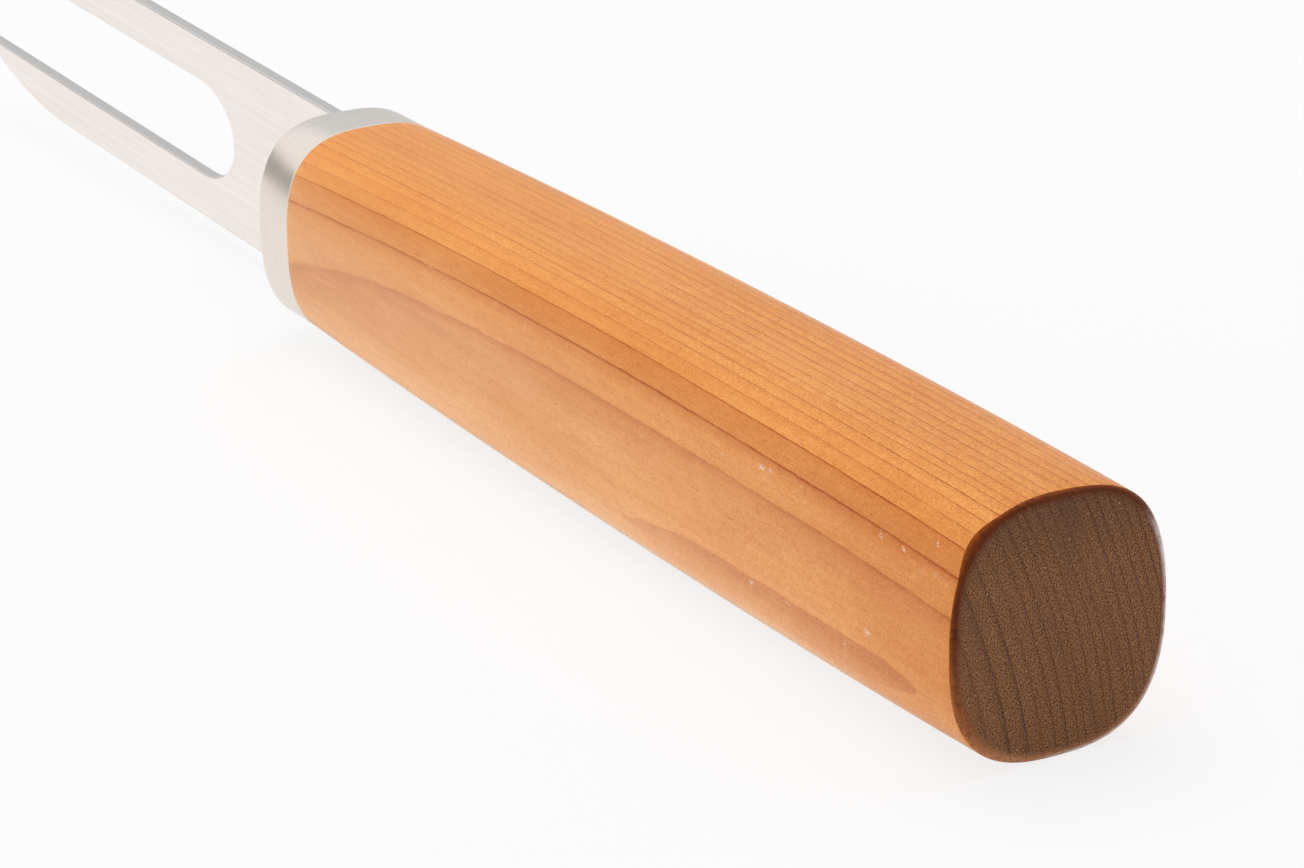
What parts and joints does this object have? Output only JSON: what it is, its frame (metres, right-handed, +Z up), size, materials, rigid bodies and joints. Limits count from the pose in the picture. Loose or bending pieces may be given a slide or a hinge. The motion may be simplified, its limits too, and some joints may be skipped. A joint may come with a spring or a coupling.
{
  "type": "fish fork",
  "caption": "Fish fork with straight parallel tines cut from a flat steel plate, a satin steel bolster and a rounded-square oiled wood handle on a hidden tang.",
  "frame": {"origin": "bottom centre of the whole fork as it stands on the underside of its handle", "axes": "+X from the tines towards the butt, along the handle; +Y across the thin blade; +Z up, with the blade on edge"},
  "size_m": [0.231, 0.0218, 0.0242],
  "materials": {
    "blade_steel": "fine satin, ground lengthwise",
    "bolster_steel": "satin, softly rounded edges",
    "handle_wood": "oiled, fine straight growth rings",
    "adhesive": "cured epoxy"
  },
  "bodies": {
    "root": {"fork_blade": "blade_steel", "bolster": "bolster_steel", "handle": "handle_wood", "tang_adhesive": "adhesive"}
  },
  "joints": []
}
